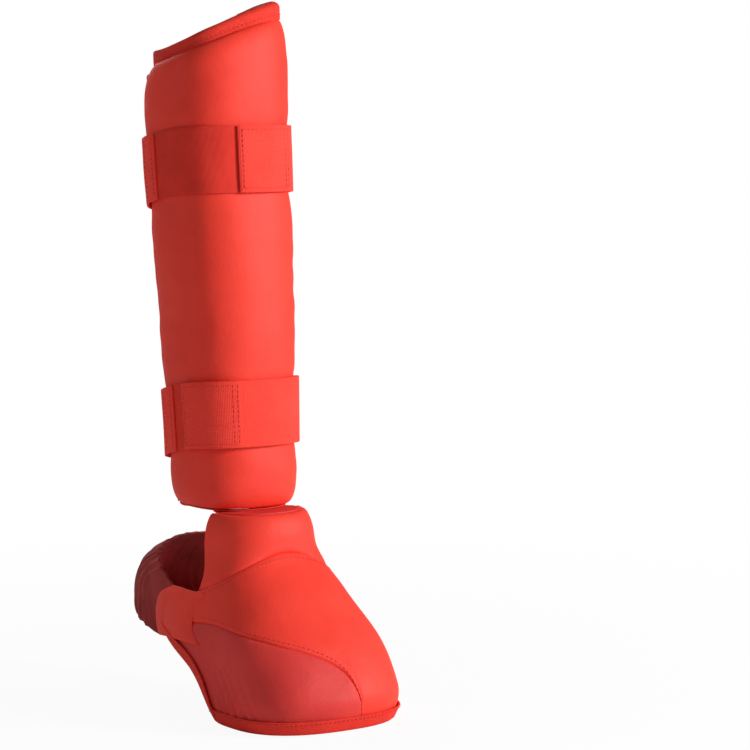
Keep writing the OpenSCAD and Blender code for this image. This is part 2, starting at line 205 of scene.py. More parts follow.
def join(name, pieces):
    deselect()
    for piece in pieces:
        piece.select_set(True)
    bpy.context.view_layer.objects.active = pieces[0]
    if len(pieces) > 1:
        bpy.ops.object.join()
    pieces[0].name = name
    return pieces[0]


def face_out():
    """Turns every face of the mesh in edit mode outwards, and leaves the mode."""
    bpy.ops.mesh.select_all(action="SELECT")
    bpy.ops.mesh.normals_make_consistent(inside=False)
    bpy.ops.object.mode_set(mode="OBJECT")


def pad(name, columns, rows, outer, inner):
    """A closed pad between two laid grids."""
    piece = join(name, [lay(name, columns, rows, outer), lay(name + "_in", columns, rows, inner, flip=True)])
    bpy.ops.object.mode_set(mode="EDIT")
    bpy.ops.mesh.select_mode(type="EDGE")
    bpy.ops.mesh.select_all(action="DESELECT")
    bpy.ops.mesh.select_non_manifold()
    bpy.ops.mesh.bridge_edge_loops()
    face_out()
    return piece


def modify(piece, kind, **settings):
    """Adds a modifier with these settings and applies it."""
    pick(piece)
    modifier = piece.modifiers.new(kind.lower(), kind)
    for key, value in settings.items():
        setattr(modifier, key, value)
    bpy.ops.object.modifier_apply(modifier=modifier.name)


def distance_along(points):
    """How far each point of a path is from its start, along the path."""
    return np.concatenate([[0], np.cumsum(np.linalg.norm(np.diff(points, axis=0), axis=1))])


def middle_length(place, along=True, count=80):
    """The length of a laid band's middle line in mm, from its formula and not from its mesh."""
    run, half = np.linspace(0, 1, count), np.full(count, 0.5)
    path = place(run, half) if along else place(half, run)
    return float(np.linalg.norm(np.diff(path, axis=0), axis=1).sum())


def declare_band(piece, width, length):
    """Prints a narrow piece's size in mm, that of its path on the guard."""
    print(piece.name, "is", round(width), "x", round(length), "mm along its path")


def dress(piece, body, material, nodes=(), angle=40):
    """Smooth shading, a finish, a body to ride on and the solids that it stands for. A piece given two bodies
    and two points in place of one body is only fixed where it lies: these are not used, and it does not bend."""
    pick(piece)
    bpy.ops.object.shade_smooth_by_angle(angle=math.radians(angle))
    piece.data.materials.clear()
    piece.data.materials.append(material)
    if isinstance(body, str):
        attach(piece, body)
    else:
        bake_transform(piece)
    if nodes:
        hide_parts(*nodes)
    return piece


# %% [markdown]
# ## Finishes
# Coated fabric has a fine pebble grain, softly glossy, with slow changes of colour. The grain
# is built in bump from cells and finer noise, over faint creases, and reads the piece's own
# coordinates, so it stays put when the guard opens.

# %% Material helpers


def new_material(name, colour, roughness, **sockets):
    material = bpy.data.materials.new(name)
    material.use_nodes = True
    shader = material.node_tree.nodes["Principled BSDF"]
    shader.inputs["Base Color"].default_value = (*colour, 1)
    shader.inputs["Roughness"].default_value = roughness
    for socket, value in sockets.items():
        shader.inputs[socket.replace("_", " ")].default_value = value
    return material


def node(material, kind, **values):
    made = material.node_tree.nodes.new(kind)
    for key, value in values.items():
        if hasattr(made, key):
            setattr(made, key, value)
        else:
            made.inputs[key.replace("_", " ")].default_value = value
    return made


def link(material, a, out, b, into):
    material.node_tree.links.new(a.outputs[out], b.inputs[into])


def mottle(material, dark, light, scale=28.0, coordinates="Object", detail=4.0):
    """Slow changes between two shades of the same colour."""
    where = node(material, "ShaderNodeTexCoord")
    noise = node(material, "ShaderNodeTexNoise", Scale=scale, Detail=detail, Roughness=0.55)
    ramp = node(material, "ShaderNodeValToRGB")
    ramp.color_ramp.elements[0].position = 0.3
    ramp.color_ramp.elements[1].position = 0.72
    ramp.color_ramp.elements[0].color = (*dark, 1)
    ramp.color_ramp.elements[1].color = (*light, 1)
    link(material, where, coordinates, noise, "Vector")
    link(material, noise, "Fac", ramp, "Fac")
    link(material, ramp, "Color", material.node_tree.nodes["Principled BSDF"], "Base Color")
    return where, ramp


def bump(material, height, out, strength, distance, after=None):
    """Adds a bump to the shader, on top of another."""
    made = node(material, "ShaderNodeBump", Strength=strength, Distance=distance)
    link(material, height, out, made, "Height")
    if after:
        link(material, after, "Normal", made, "Normal")
    link(material, made, "Normal", material.node_tree.nodes["Principled BSDF"], "Normal")
    return made


def coated_fabric(name, dark, light, roughness=0.58, creases=0.25):
    """Red coated fabric with a pebble grain and faint creases."""
    material = new_material(name, light, roughness, Specular_IOR_Level=0.24)
    where, _ = mottle(material, dark, light, scale=16.0)
    folds = node(material, "ShaderNodeTexNoise", Scale=34.0, Detail=3.0, Roughness=0.5, Distortion=0.6)
    grain = node(material, "ShaderNodeTexVoronoi", Scale=900.0)
    fine = node(material, "ShaderNodeTexNoise", Scale=2600.0, Detail=2.0)
    for texture in (folds, grain, fine):
        link(material, where, "Object", texture, "Vector")
    first = bump(material, folds, "Fac", creases, 0.0025)
    second = bump(material, grain, "Distance", 0.30, 0.00025, first)
    bump(material, fine, "Fac", 0.2, 0.0001, second)
    return material


def woven(name, dark, light, ribs=(0.0, 600.0), roughness=0.78, strength=0.5, sheen=0.3):
    """Narrow woven goods: ribs along and across the UV map."""
    material = new_material(name, light, roughness, Specular_IOR_Level=0.2, Sheen_Weight=sheen,
                            Sheen_Roughness=0.45, Sheen_Tint=(*light, 1))
    mottle(material, dark, light, scale=45.0)
    where = node(material, "ShaderNodeTexCoord")
    scaled = node(material, "ShaderNodeMapping")
    scaled.inputs["Scale"].default_value = (ribs[0], ribs[1], 1)
    link(material, where, "UV", scaled, "Vector")
    across = node(material, "ShaderNodeTexWave", Scale=1.0, Distortion=0.4, bands_direction="X")
    along = node(material, "ShaderNodeTexWave", Scale=1.0, Distortion=0.4, bands_direction="Y")
    link(material, scaled, "Vector", across, "Vector")
    link(material, scaled, "Vector", along, "Vector")
    first = bump(material, across, "Fac", strength, 0.00025)
    bump(material, along, "Fac", strength, 0.00025, first)
    return material


# %% The guard's finishes
shell_fabric = coated_fabric("shell_fabric", (0.84, 0.040, 0.024), (0.95, 0.054, 0.030))
panel_fabric = coated_fabric("panel_fabric", (0.86, 0.042, 0.025), (0.96, 0.056, 0.032), creases=0.3)
side_fabric = coated_fabric("side_fabric", (0.66, 0.040, 0.034), (0.78, 0.050, 0.042), creases=0.45)
flap_fabric = coated_fabric("flap_fabric", (0.82, 0.038, 0.023), (0.93, 0.050, 0.028), creases=0.5)
lining_knit = coated_fabric("lining_knit", (0.30, 0.016, 0.014), (0.46, 0.022, 0.019),
                            roughness=0.8, creases=0.4)
tape_weave = woven("tape_weave", (0.74, 0.034, 0.022), (0.88, 0.046, 0.027), ribs=(0.4, 0.3), sheen=0.1)
elastic_weave = woven("elastic_weave", (0.93, 0.050, 0.034), (1.0, 0.064, 0.042), ribs=(0.27, 0.2), sheen=0.1)
heel_weave = woven("heel_weave", (0.24, 0.022, 0.019), (0.40, 0.036, 0.032), ribs=(0.27, 0.2), sheen=0.1)
loop_pile = woven("loop_pile", (0.74, 0.034, 0.022), (0.90, 0.046, 0.027), ribs=(0.4, 0.4), sheen=0.25)
hook_tape = woven("hook_tape", (0.30, 0.016, 0.014), (0.42, 0.022, 0.019),
                  ribs=(0.2, 0.2), roughness=0.6, sheen=0.0)
thread = new_material("thread", (0.72, 0.030, 0.022), 0.55)
mottle(thread, (0.62, 0.024, 0.019), (0.80, 0.036, 0.026), scale=900.0)
print("finishes:", len(bpy.data.materials))

# %% [markdown]
# ## Woven strips need a map in real sizes
# A weave has the same pitch on a short tab as on a long strap, so each strip's UV map is
# stretched to its length and width in millimetres before the ribs are drawn on it.

# %% Strips, tapes and stitches


def measure_map(piece, length, width):
    """Stretches a 0 to 1 UV map to millimetres."""
    layer = piece.data.uv_layers.active.data
    flat = np.empty(len(layer) * 2)
    layer.foreach_get("uv", flat)
    layer.foreach_set("uv", (flat.reshape(-1, 2) * (length, width)).ravel())


def sheet_of(name, columns, rows, place, thickness, length, width, round_edge=0.35):
    """A laid grid with a thickness, grown inwards, and softened edges."""
    piece = lay(name, columns, rows, place)
    measure_map(piece, length, width)
    modify(piece, "SOLIDIFY", thickness=thickness * MM, offset=-1)
    modify(piece, "BEVEL", width=round_edge * MM, segments=2, limit_method="ANGLE",
           angle_limit=math.radians(50))
    return piece


def fold_profile(t, top, bottom, reach):
    """A folded tape's path in steps [inward, outward], t from 0 on the outer leg to 1 on the inner."""
    middle, half = (top + bottom) / 2, (top - bottom) / 2
    leg = reach / (2 * reach + math.pi * half)
    angle = np.clip((t - leg) / (1 - 2 * leg), 0, 1) * math.pi
    inward = np.where(t < leg, (1 - t / leg) * reach, np.where(t > 1 - leg, (t - 1 + leg) / leg * reach,
                      -np.sin(angle) * half * 0.8))
    return inward, middle + np.cos(angle) * half


def tape_round(name, edge, top, bottom, reach, side=1, columns=200, thickness=0.9, length=400, flare=None):
    """A tape folded over an edge. edge(s) gives points and normals, in mm; side picks which way is
    inward, and flare(s) lifts the outer leg."""
    step = 0.002

    def place(s, t):
        point, out = edge(s)
        ahead, _ = edge(np.clip(s + step, 0, 1))
        behind, _ = edge(np.clip(s - step, 0, 1))
        into = np.cross(out, ahead - behind) * side
        into /= np.linalg.norm(into, axis=-1, keepdims=True)
        high = top + flare(s) if flare else top
        across, lift = fold_profile(t if side < 0 else 1 - t, high, bottom, reach)
        return point + into * across[:, None] + out * lift[:, None]
    return sheet_of(name, columns, 14, place, thickness, length, 2 * reach + 6)


def stitches(name, points, normals, pitch=3.6, length=2.7, radius=0.32, lift=0.1):
    """A row of stitches along a path, as one mesh."""
    points, normals = np.asarray(points, float), np.asarray(normals, float)
    run = distance_along(points)
    places = np.arange(pitch / 2, run[-1], pitch)
    centres = np.stack([np.interp(places, run, points[:, k]) for k in range(3)], -1)
    ahead = np.stack([np.interp(places + 0.4, run, points[:, k]) for k in range(3)], -1)
    out = np.stack([np.interp(places, run, normals[:, k]) for k in range(3)], -1)
    along = ahead - centres
    along /= np.linalg.norm(along, axis=1, keepdims=True) + 1e-9
    out -= (out * along).sum(1, keepdims=True) * along
    out /= np.linalg.norm(out, axis=1, keepdims=True)
    over = np.cross(out, along)
    deselect()
    bpy.ops.mesh.primitive_uv_sphere_add(segments=8, ring_count=5, radius=1, location=(0, 0, 0))
    piece = bpy.context.object
    ball = np.array([v.co[:] for v in piece.data.vertices])
    faces = [list(p.vertices) for p in piece.data.polygons]
    spread = (centres[:, None] + out[:, None] * lift
              + ball[None, :, 2:3] * along[:, None] * length / 2
              + ball[None, :, 0:1] * over[:, None] * radius
              + ball[None, :, 1:2] * out[:, None] * radius)
    mesh = bpy.data.meshes.new(name)
    count = len(ball)
    mesh.from_pydata((spread.reshape(-1, 3) * MM).tolist(), [],
                     [[v + k * count for v in f] for k in range(len(centres)) for f in faces])
    piece.data = mesh
    piece.name = name
    pick(piece)
    bpy.ops.object.mode_set(mode="EDIT")
    face_out()
    return piece


def ripple(points, seed, size, count=9):
    """Slow random waves over space, about -1 to 1, the same each run. size is in mm."""
    random = np.random.default_rng(seed)
    total = np.zeros(len(points))
    for _ in range(count):
        way = random.normal(size=3)
        way *= 2 * math.pi / (size * random.uniform(0.7, 1.5)) / np.linalg.norm(way)
        total += np.sin(points @ way + random.uniform(0, 2 * math.pi))
    return total / math.sqrt(count)


# %% [markdown]
# ## Padding
# Foam sewn between two fabrics swells where nothing holds it and is pinched at the seams. Most
# of that fullness is drawn here by the formulas that place each panel. A cloth simulation with
# pressure then adds less than a millimetre: the points near the seams are pinned, the rest
# swell, and a cap keeps them from straying off the engineer's solid.

# %% Swelling a pad


def held(table, inner, gap):
    """Held near its seams and on its inner side. gap(u, z) is the distance to the nearest seam in mm."""
    def pinned(points):
        centre = smooth(table, points[:, 2])
        u = np.degrees(np.arctan2(points[:, 0], centre - points[:, 1]))
        skin = on_last(table, u, points[:, 2])
        depth = np.hypot(points[:, 0], points[:, 1] - centre) - np.hypot(skin[:, 0], skin[:, 1] - centre)
        return 1 - corner(np.clip(gap(u, points[:, 2]) / 9, 0, 1)) * np.clip(depth - inner, 0, 1)
    return pinned


def swell(piece, pinned, pressure=3.0, cap=1.2, frames=10):
    """Swells a closed pad by simulation. pinned(points in mm) is 1 where sewn and 0 where free."""
    scene = bpy.context.scene
    before = np.empty(len(piece.data.vertices) * 3)
    piece.data.vertices.foreach_get("co", before)
    before = before.reshape(-1, 3)
    hold = np.clip(pinned(before / MM), 0, 1)
    group = piece.vertex_groups.new(name="sewn")
    for index, weight in enumerate(hold):
        group.add([index], float(weight), "REPLACE")
    pick(piece)
    cloth = piece.modifiers.new("cloth", "CLOTH")
    settings = cloth.settings
    settings.quality = 4
    settings.mass = 0.3
    settings.tension_stiffness = 20
    settings.compression_stiffness = 20
    settings.bending_stiffness = 6
    settings.use_pressure = True
    settings.uniform_pressure_force = pressure
    settings.vertex_group_mass = "sewn"
    settings.effector_weights.gravity = 0
    cloth.collision_settings.use_collision = False
    cloth.point_cache.frame_start = 1
    cloth.point_cache.frame_end = frames
    for number in range(1, frames + 1):
        scene.frame_set(number)
    bpy.ops.object.modifier_apply(modifier=cloth.name)
    scene.frame_set(1)
    after = np.empty(len(before) * 3)
    piece.data.vertices.foreach_get("co", after)
    move = after.reshape(-1, 3) - before
    far = np.linalg.norm(move, axis=1, keepdims=True)
    move *= np.where(far > cap * MM, cap * MM / np.maximum(far, 1e-9), 1)
    piece.data.vertices.foreach_set("co", (before + move * (1 - hold[:, None])).ravel())
    piece.vertex_groups.clear()
    piece.data.update()
    print(piece.name, "swelled by up to", round(float(far.max()) / MM, 2), "mm before the cap")


# %% [markdown]
# ## The shin sleeve
# The shell is one long pad that wraps two thirds of the leg. Its foam is pinched where cover
# and lining meet, so it rolls over at its top and bottom like a pillow. Inside it is the thin
# lined sleeve, which stands a little proud at the top and carries the bound rim.

# %% Sizes of the sleeve
SKIN, FOAM, LINER = 1.2, 8.0, 3.5
SHELL_IN = -SKIN - FOAM
LINING_IN = SHELL_IN - LINER
HEM, RIM, RISE, RIM_LEAN, SHELL_ANGLE = 145, 488, 17, 57, 118
EDGE_ROUND, EDGE_DROP = 16, FOAM * 0.7
RIM_STEP = 8   # how far the shell ends below the rim
SHOULDER_START, SHOULDER_DROP = 92, 18   # its top falls from this angle on, by this much
PUFF_RUN = 9   # beside a strap, the padding rises over about this far


def rim(u):
    return RIM + RISE * np.cos(np.radians(u - RIM_LEAN))


def shell_top(u):
    beyond = np.clip(np.abs(u) - SHOULDER_START, 0, None)
    return rim(u) - RIM_STEP - SHOULDER_DROP * corner(beyond / (SHELL_ANGLE - SHOULDER_START))


def pillow(u, z):
    rest = np.minimum(z - HEM, shell_top(u) - z)
    return -EDGE_DROP * corner(np.clip(1 - rest / EDGE_ROUND, 0, 1))


def crowd(t):
    """Rows gather towards both edges."""
    return 0.5 - 0.5 * np.cos(math.pi * t)


STRAP_WIDTH, STRAP_SAG = 48, 18
LEVELS = (("upper", 396, -16, 40), ("lower", 214, -80, -24))   # name, height, tab's end, tab's seam


def sag(u):
    """A strap lies lower behind the leg than in front."""
    return STRAP_SAG * ((1 - np.cos(np.radians(u))) / 2) ** 2


def from_strap(u, z):
    """How far a point is from the nearest strap's edge, in mm, and 0 under a strap."""
    gaps = [np.abs(z - (middle - sag(u))) - STRAP_WIDTH / 2 for _, middle, _, _ in LEVELS]
    return np.clip(np.minimum(*gaps), 0, None)


# %% The shell's pad
def shell_outside(s, t):
    u = mix(-SHELL_ANGLE, SHELL_ANGLE, s)
    z = mix(HEM, shell_top(u), crowd(t))
    points = on_last(SHIN, u, z)
    calm = np.clip(np.minimum(z - HEM, shell_top(u) - z) / 30, 0, 1)
    free = 1 - np.exp(-from_strap(u, z) / PUFF_RUN)
    lines = ripple(points * (1, 1, 3.2), 3, 150) * 0.4 + ripple(points * (1, 1, 5), 8, 90) * 0.2
    return at(SHIN, u, z, pillow(u, z) + (lines + 1.3 * free) * calm - 0.3 * (1 - free))


def shell_inside(s, t):
    u = mix(-SHELL_ANGLE, SHELL_ANGLE, s)
    return at(SHIN, u, mix(HEM, shell_top(u), crowd(t)), SHELL_IN)


shell = pad("shell_pad", 150, 130, shell_outside, shell_inside)


def shell_gap(u, z):
    ends = np.minimum(z - HEM, shell_top(u) - z)
    return np.minimum(ends, np.minimum((SHELL_ANGLE - np.abs(u)) * 0.8, from_strap(u, z)))


swell(shell, held(SHIN, -5, shell_gap), pressure=9)
dress(shell, "shin", shell_fabric, ["shell_cover", "shell_foam"])
print("shell:", len(shell.data.polygons), "faces")


# %% The lined sleeve and its rim
def sleeve(d):
    def place(s, t):
        u = mix(-SHELL_ANGLE, SHELL_ANGLE, s)
        return at(SHIN, u, mix(HEM, rim(u), t), d)
    return place


lining = pad("sleeve_lining_pad", 90, 60, sleeve(SHELL_IN - 0.1), sleeve(LINING_IN))
dress(lining, "shin", lining_knit, ["sleeve_lining"])


def rim_edge(s):
    u = mix(-SHELL_ANGLE, SHELL_ANGLE, s)
    return on_last(SHIN, u, rim(u)), outward(SHIN, u, rim(u))


def hem_edge(s):
    u = mix(-SHELL_ANGLE, SHELL_ANGLE, s)
    return on_last(SHIN, u, HEM), outward(SHIN, u, HEM)


def rim_flare(s):
    """The padded rim is fuller round the front and +X side, and ripples where it is sewn."""
    u = mix(-SHELL_ANGLE, SHELL_ANGLE, s)
    return 5.2 * corner(np.clip((u + 80) / 120, 0, 1)) + 0.35 * ripple(on_last(SHIN, u, rim(u)), 61, 24)


rim_tape = tape_round("rim_tape", rim_edge, SHELL_IN + 1.3, LINING_IN - 1.3, 9.0, side=-1,
                      length=220, flare=rim_flare)
dress(rim_tape, "shin", tape_weave, ["rim_binding"])


def hem_place(s, t):
    points, out = hem_edge(s)
    return points + out * mix(LINING_IN, -EDGE_DROP - SKIN, t)[:, None] - np.array([0, 0, 0.9])


hem_tape = sheet_of("shell_hem_strip", 120, 4, hem_place, -0.9, 200, 6, 0.2)
dress(hem_tape, "shin", tape_weave, ["shell_hem_tape"])

# %% [markdown]
# ## Straps
# A sewn band of brushed loops circles the shell, and the elastic strap presses its hook tab
# onto it. The strap is one stock width all the way round. The tab is a second layer sewn on
# with a box of stitches, whose lines catch the light in the photograph.

# %% Straps
LOOP_BAND, STRAP_IN = 1.2, 1.9
STRAP_OUT = STRAP_IN + 1.6
TAB_IN = STRAP_IN + 0.8
TAB_OUT = TAB_IN + 1.4
TAB_HINGE, ANCHOR, ANCHOR_END = 80, 241, 264
ANCHOR_FALL = 1.1   # how far the sewn end sinks into the shell


def settle(edge, drop, run=12):
    """A free end settles onto what it lies on, over its last few degrees."""
    return lambda u: drop * corner(np.clip(1 - np.abs(u - edge) / run, 0, 1))


def flat(u):
    return 0 * u


def band(middle, u0, u1, d, width=STRAP_WIDTH, waves=0.0, seed=1, press=flat):
    def place(s, t):
        u = mix(u0, u1, s)
        z = middle - sag(u) + (t - 0.5) * width
        points = on_last(SHIN, u, z)
        return at(SHIN, u, z, d - press(u) + waves * ripple(points, seed, 60))
    return place


def strip(name, middle, u0, u1, d0, d1, width=STRAP_WIDTH, waves=0.0, seed=1, press=flat):
    length = abs(u1 - u0) * 0.87
    place = band(middle, u0, u1, d1, width, waves, seed, press)
    return sheet_of(name, max(8, int(abs(u1 - u0) / 2)), 16, place, d1 - d0, length, width)


def hinge_ends(table, u0, u1, z, d=0.0):
    """Two points on a last, at the angles u0 and u1 and the height z, in metres."""
    start, stop = at(table, np.array([u0, u1], float), np.array([z, z], float), d) * MM
    return tuple(start), tuple(stop)


def line_across(middle, u, d, margin=3.0, rows=30):
    """A path across a strap at angle u."""
    z0 = middle - sag(u)
    z = np.linspace(z0 - STRAP_WIDTH / 2 + margin, z0 + STRAP_WIDTH / 2 - margin, rows)
    return at(SHIN, u, z, d), outward(SHIN, u, z)


def line_along(middle, u0, u1, d, offset, count=60, press=flat):
    """A path along a strap, offset up from its middle."""
    u = np.linspace(u0, u1, count)
    z = middle - sag(u) + offset
    return at(SHIN, u, z, d - press(u)), outward(SHIN, u, z)


for level, middle, end, seam in LEVELS:
    loops = strip(f"{level}_loops", middle, -112, 112, 0.3, LOOP_BAND)
    dress(loops, "shin", loop_pile, [f"{level}_loop_band"])
    sunk = settle(ANCHOR_END, ANCHOR_FALL, 18)
    anchor = strip(f"{level}_anchor", middle, ANCHOR - 1, ANCHOR_END, STRAP_OUT - 1.3, STRAP_OUT, press=sunk)
    bend = ("shin", f"{level}_strap", *hinge_ends(SHIN, ANCHOR + 5, ANCHOR + 0.5, middle))
    dress(anchor, bend, elastic_weave, [f"{level}_strap_anchor"])
    elastic = strip(f"{level}_elastic", middle, TAB_HINGE + 1, ANCHOR - 1, STRAP_IN, STRAP_OUT,
                    waves=0.3, seed=5)
    dress(elastic, f"{level}_strap", elastic_weave, [f"{level}_strap"])
    front = strip(f"{level}_front", middle, seam - 4, TAB_HINGE + 1, TAB_IN - 0.6, TAB_OUT - 0.7,
                  waves=0.15, seed=7)
    press = settle(end, 1.35)
    tab = strip(f"{level}_tab_layer", middle, end, seam, TAB_IN, TAB_OUT, waves=0.15, seed=7, press=press)
    front = join(f"{level}_front_and_tab", [front, tab])
    bend = (f"{level}_strap", f"{level}_tab", *hinge_ends(SHIN, TAB_HINGE + 0.5, TAB_HINGE - 4, middle))
    dress(front, bend, elastic_weave, [f"{level}_strap_tab"])
    behind = middle_length(band(middle, TAB_HINGE + 1, ANCHOR - 1, STRAP_OUT))
    declare_band(elastic, STRAP_WIDTH, behind)
    lap = middle_length(band(middle, end, TAB_HINGE + 1, TAB_OUT))
    sewn_part = middle_length(band(middle, ANCHOR - 1, ANCHOR_END, STRAP_OUT))
    print(level, "lap and tab", round(lap), "mm, sewn end", round(sewn_part), "mm")
    grip = strip(f"{level}_hooks", middle, end + 8, seam, STRAP_IN - 0.2, TAB_IN - 0.05, STRAP_WIDTH - 6)
    dress(grip, f"{level}_tab", hook_tape, [f"{level}_tab_hooks"])
    rows = [line_across(middle, seam - 3, TAB_OUT), line_across(middle, seam - 7, TAB_OUT),
            line_across(middle, end + 4, TAB_OUT - press(end + 4)),
            line_along(middle, end + 4, seam - 3, TAB_OUT, STRAP_WIDTH / 2 - 3, press=press),
            line_along(middle, end + 4, seam - 3, TAB_OUT, 3 - STRAP_WIDTH / 2, press=press)]
    sewn = join(f"{level}_tab_stitches", [stitches(f"{level}_row{k}", *row) for k, row in enumerate(rows)])
    dress(sewn, f"{level}_tab", thread)
    fixed = join(f"{level}_anchor_stitches",
                 [stitches(f"{level}_fix{k}", *line_across(middle, u, STRAP_OUT - sunk(u)))
                  for k, u in enumerate((246, 260))])
    dress(fixed, "shin", thread)

# %% [markdown]
# ## Flaps
# Four thinner pads close the sleeve behind the calf. They start in line with the lining and come out level
# with the shell, and their free edges are bound with tape. The lower pair ends just below the shell here, and
# 21 mm below it in the solids. A fold of the cover bridges each flap's seam.

# %% Flaps
FLAP_OUT, FLAP_THICK = -1.2, 5.5
FLAP_START, FLAP_END, SLIT = 119.6, 177.6, 312
SPLIT_TOP = 434
SLIT_HALF = 2.75   # half the gap between the upper and the lower flaps
FLAP_BOTTOM, CORNER_RISE = 143, 21  # the lower flaps' bottom, and how far its corner rises
BOTTOM_TURN, TOP_TURN = 134, 136   # the angles from which the ends curve, as far as 180
LEAN, TUCK = 6, 6   # how far a flap leans in at the ankle, and lies in at its seam
UPPER_SEAM, LOWER_SEAM = 390, 225   # heights at which the flaps' seams bend


def tuck(u, z, low):
    """How deep a flap lies: at its sewn edge, and where its lower end leans in to the ankle."""
    lean = LEAN * corner(np.clip((165 - z) / 30, 0, 1)) if low else 0
    return TUCK * np.clip(1 - (u - FLAP_START) / 24, 0, None) ** 2 + lean


def flap_edges(side, low, u):
    """The heights of a flap's lower and upper edge."""
    if low:
        turned = corner(np.clip(u - BOTTOM_TURN, 0, None) / (180 - BOTTOM_TURN))
        return FLAP_BOTTOM + CORNER_RISE * turned, np.full_like(u, SLIT - SLIT_HALF)
    start = rim(np.minimum(u, TOP_TURN)) if side > 0 else rim(-SHELL_ANGLE) - 17
    top = mix(start, SPLIT_TOP, corner(np.clip(u - TOP_TURN, 0, None) / (180 - TOP_TURN)))
    return np.full_like(u, SLIT + SLIT_HALF), top


def flap_gap(low):
    def gap(u, z):
        z0, z1 = flap_edges(1, low, np.abs(u))
        return np.minimum(np.minimum(z - z0, z1 - z), (FLAP_END - np.abs(u)) * 0.8)
    return gap


def flap_face(side, low, d, puff=0.0):
    def place(s, t):
        w = s if side > 0 else 1 - s
        u = mix(FLAP_START, FLAP_END, w ** 0.85)
        z0, z1 = flap_edges(side, low, u)
        z = mix(z0, z1, t)
        near = np.minimum(np.minimum(z - z0, z1 - z), (FLAP_END - u) * 0.8)
        middle = np.clip(near / 14, 0, 1)
        points = on_last(SHIN, side * u, z)
        lift = puff * (corner(1 - middle) * -1.6 + middle * ripple(points * (1, 1, 1.6), 21 + side, 60) * 0.7)
        return at(SHIN, side * u, z, d - tuck(u, z, low) + lift)
    return place


def fold_face(side, low):
    """The cover runs from the shell's end into the flap, so a fold of it bridges the seam."""
    z0, z1 = flap_edges(side, low, np.array([FLAP_START + 1]))

    def place(s, t):
        w = t if side > 0 else 1 - t
        return at(SHIN, side * mix(115.5, 122.5, w), mix(z0[0] + 3, z1[0] - 3, s), mix(-3.4, -7.6, corner(w)))
    return place


def flap_rim(side, low):
    """The free edge of a flap: along the bottom, up the closing edge and back along the top."""
    bend = np.linspace(FLAP_START, FLAP_END, 80)
    z0, z1 = flap_edges(side, low, bend)
    rise = np.linspace(z0[-1], z1[-1], 60)[1:-1]
    us = np.concatenate([bend, np.full(58, FLAP_END), bend[::-1]])
    zs = np.concatenate([z0, rise, z1[::-1]])
    points = on_last(SHIN, side * us, zs)
    run = distance_along(points)
    run /= run[-1]

    def edge(s):
        u, z = np.interp(s, run, us), np.interp(s, run, zs)
        out = outward(SHIN, side * u, z)
        return on_last(SHIN, side * u, z) - out * tuck(u, z, low)[..., None], out
    return edge


for side, hand in ((1, "left"), (-1, "right")):
    for low, level in ((False, "upper"), (True, "lower")):
        name = f"{level}_{hand}_flap"
        flap = pad(f"{name}_pad", 46, 76, flap_face(side, low, FLAP_OUT, 1.0),
                   flap_face(side, low, FLAP_OUT - FLAP_THICK))
        swell(flap, held(SHIN, -3.5, flap_gap(low)), pressure=30)
        dress(flap, name, flap_fabric, [name])
        tape = tape_round(f"{name}_tape", flap_rim(side, low), FLAP_OUT + 0.2,
                          FLAP_OUT - FLAP_THICK - 0.2, 5.0, side=side, columns=240, length=300)
        dress(tape, name, tape_weave, [f"{name}_binding"])
        fold = sheet_of(f"{name}_fold", 60, 8, fold_face(side, low), 1.0, 180, 8, 0.2)
        seam = LOWER_SEAM if low else UPPER_SEAM
        bend = ("shin", name, *hinge_ends(SHIN, side * 117.5, side * 121.5, seam, -3))
        dress(fold, bend, flap_fabric)
print("flaps done")

# %% [markdown]
# ## The instep guard
# Three panels meet on the instep. A bright main panel covers the top of the foot, a darker one
# wraps the outer side under an arched seam, and a padded collar stands round the ankle. The
# hem is bound with wide tape, and fabric puckers along it where it turns the tight rear corner.

# %% Sizes of the instep guard
PAD_REACH = np.array([[-5, 112], [2, 114], [8, 118], [16, 121], [35, 129], [46, 142], [56, 152], [66, 153],
                      [80, 143], [92, 118], [104, 101], [120, 91], [150, 82]], float)
SIDE_SEAM = np.array([[-130, 60], [-90, 68], [-63, 67], [-33, 59], [-13, 51], [0, 42], [6, 33], [10, 20],
                      [13, 1.9]], float)
PAD_HEM, COLLAR_TOP, NOMINAL = 1.9, 143, 130
FOAM_OUT = -SKIN
PAD_IN = FOAM_OUT - 6 - SKIN


def reach(z):
    return smooth(PAD_REACH, z)


def collar_seam(t):
    return 82 + 34 * np.clip(np.cos(np.radians(90 * t)), 0, None) ** 1.3


def side_seam(t):
    return np.maximum(PAD_HEM + 5, smooth(SIDE_SEAM, np.minimum(t * NOMINAL, 13)))


def on_foot(t, z, d=0.0):
    u = t * reach(z)
    return at(FOOT, u, z, d), outward(FOOT, u, z)


def foot_panel(t0, t1, low, high, d, pucker=None):
    """Places a panel between two seams. pucker(t, v, points) gives an extra height."""
    def place(s, v):
        t = mix(t0, t1, s)
        z = mix(low(t), high(t), v)
        extra = pucker(t, v, on_last(FOOT, t * reach(z), z)) if pucker else 0
        return on_foot(t, z, d + extra)[0]
    return place


def hem_line(t):
    return np.full_like(t, PAD_HEM)


def collar_edge(t):
    return np.full_like(t, COLLAR_TOP)


def seam_dip(v, low=0.06, high=0.06, deep=1.3):
    """How far a panel is pulled in beside its seams."""
    return -deep * (corner(np.clip(1 - v / low, 0, 1)) + corner(np.clip(1 - (1 - v) / high, 0, 1)))


# %% The foam and lining of the instep
core = pad("instep_core_pad", 120, 60, foot_panel(-1, 1, hem_line, collar_seam, FOAM_OUT - 0.2),
           foot_panel(-1, 1, hem_line, collar_seam, PAD_IN))
dress(core, "instep", lining_knit, ["instep_foam", "instep_lining"])


